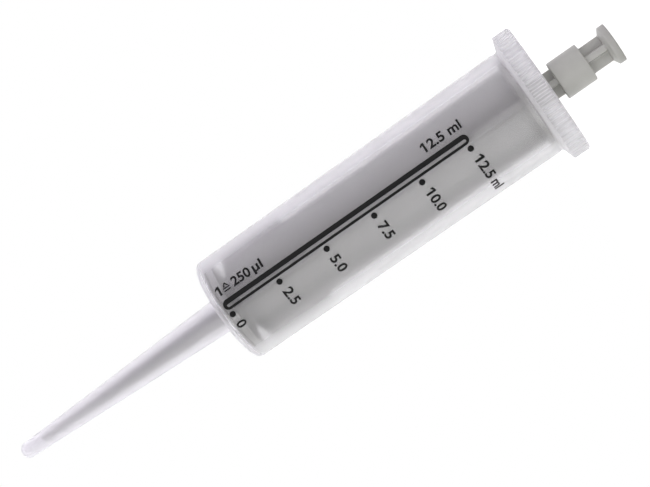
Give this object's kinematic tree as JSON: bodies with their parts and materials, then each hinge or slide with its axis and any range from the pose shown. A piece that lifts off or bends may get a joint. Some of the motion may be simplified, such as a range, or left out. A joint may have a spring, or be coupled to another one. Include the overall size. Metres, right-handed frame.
{
  "type": "repeating pipette tip",
  "caption": "Repeating dispenser tip: clear graduated barrel with a ribbed flange and a tapered nozzle, and a sliding piston with a head, a collar and a finned rod.",
  "frame": {"origin": "centre of the piston head's flat face, on which the tip stands", "axes": "+Z along the tip's axis, from the piston head up to the nozzle; the printed scale faces -Y"},
  "size_m": [0.0254, 0.0254, 0.1291],
  "materials": {
    "barrel_plastic": "natural polypropylene, moulded, see-through with a slight haze",
    "piston_plastic": "grey polyethylene, moulded, satin",
    "scale_ink": "black printing ink"
  },
  "bodies": {
    "piston": {"piston": "piston_plastic"},
    "barrel": {"barrel": "barrel_plastic", "scale_print": "scale_ink"}
  },
  "joints": [
    {"name": "barrel_slide", "type": "slide", "parent": "piston", "child": "barrel", "axis": [0, 0, 1], "range_m": [0, 0.05]}
  ]
}
